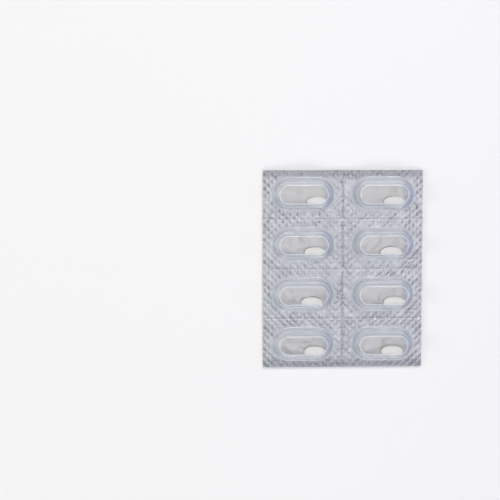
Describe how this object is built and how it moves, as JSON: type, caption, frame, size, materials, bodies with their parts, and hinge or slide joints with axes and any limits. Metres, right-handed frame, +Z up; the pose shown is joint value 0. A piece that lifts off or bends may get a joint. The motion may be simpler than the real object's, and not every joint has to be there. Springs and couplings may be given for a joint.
{
  "type": "pill blister pack",
  "caption": "Push-through blister pack lying flat: clear film with long pockets sealed to a foil lidding sheet, tablets in the pockets, slit lines for tearing doses off.",
  "frame": {"origin": "middle of the card's underside, on the surface that it lies on", "axes": "+X along the card's short side, +Y along its long side towards the first row, +Z up out of the pockets"},
  "size_m": [0.0762, 0.0942, 0.0076],
  "materials": {
    "clear_film": "clear, glossy formed film",
    "foil_lidding": "satin embossed foil, pale lacquered paper below",
    "tablet": "matt white pressed powder"
  },
  "bodies": {
    "root": {"clear_film": "clear_film", "foil_lidding": "foil_lidding", "tablet_row1_left": "tablet", "tablet_row1_right": "tablet", "tablet_row2_left": "tablet", "tablet_row2_right": "tablet", "tablet_row3_left": "tablet", "tablet_row3_right": "tablet", "tablet_row4_left": "tablet", "tablet_row4_right": "tablet"}
  },
  "joints": []
}
